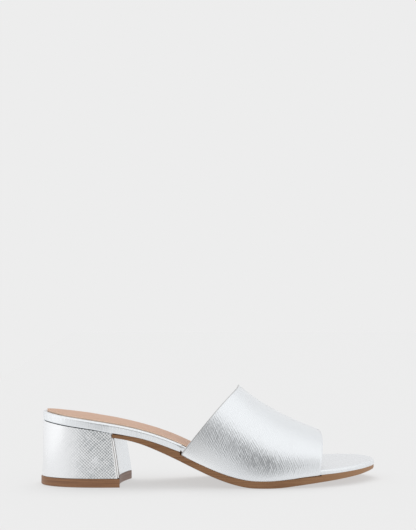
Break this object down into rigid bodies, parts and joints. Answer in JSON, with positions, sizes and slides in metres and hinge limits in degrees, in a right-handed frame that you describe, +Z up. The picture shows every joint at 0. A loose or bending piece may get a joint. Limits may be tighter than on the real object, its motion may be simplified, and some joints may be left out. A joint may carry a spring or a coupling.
{
  "type": "heeled sandal",
  "caption": "Slide sandal for the right foot: one wide vamp strap, cushioned footbed and a low covered block heel.",
  "frame": {"origin": "Middle of the shoe's bounding box, on the floor it stands on.", "axes": "+X from the heel to the toe, +Y to the inner (medial) side of the foot, +Z up."},
  "size_m": [0.2494, 0.0862, 0.0714],
  "materials": {
    "silver_leather": "metallic, fine cross-hatched grain",
    "silver_rand": "metallic, smooth",
    "silver_heel": "metallic, fine cross-hatched grain",
    "tan_sock": "satin",
    "brown_outsole": "satin",
    "brown_lift": "satin"
  },
  "bodies": {
    "root": {"outsole": "brown_outsole", "footbed": "silver_rand", "insole_sock": "tan_sock", "heel_block": "silver_heel", "top_lift": "brown_lift", "upper_strap": "silver_leather"}
  },
  "joints": []
}
